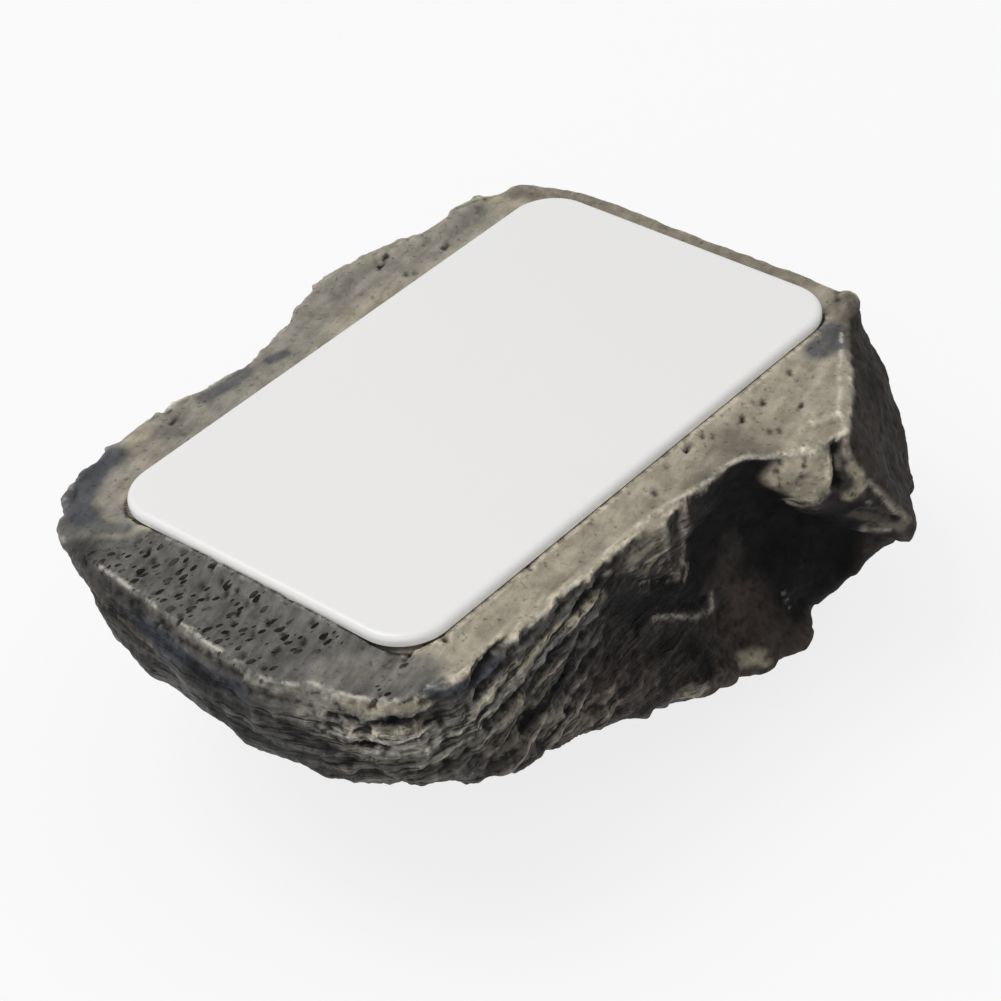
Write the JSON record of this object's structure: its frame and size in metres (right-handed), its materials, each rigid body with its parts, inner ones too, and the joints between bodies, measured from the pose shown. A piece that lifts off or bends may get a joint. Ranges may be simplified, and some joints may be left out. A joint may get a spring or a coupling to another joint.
{
  "type": "hide a key rock",
  "caption": "Imitation garden stone with a flat base, a key compartment let into the base and a lift-off rounded-rectangle cover over it.",
  "frame": {"origin": "on the crown's flat, below the centre of the cover, with the rock lying on its crown as pictured", "axes": "+X along the cover's long side, towards the end with the projecting corner; +Z out of the cover, square to the flat base. In use the rock is turned over and the cover faces the ground."},
  "size_m": [0.0891, 0.07, 0.0358],
  "materials": {
    "painted_stone": "satin",
    "clear_glue": "satin",
    "white_plastic": "gloss",
    "foam": "matte",
    "seal_rubber": "matte"
  },
  "bodies": {
    "rock": {"rock_shell": "painted_stone", "tray_glue": "clear_glue", "key_tray": "white_plastic", "foam_pad": "foam"},
    "cover": {"cover": "white_plastic", "cover_seal": "seal_rubber"}
  },
  "joints": [
    {"name": "cover_lift", "type": "slide", "parent": "rock", "child": "cover", "axis": [0, 0, 1], "range_m": [0, 0.04]}
  ]
}
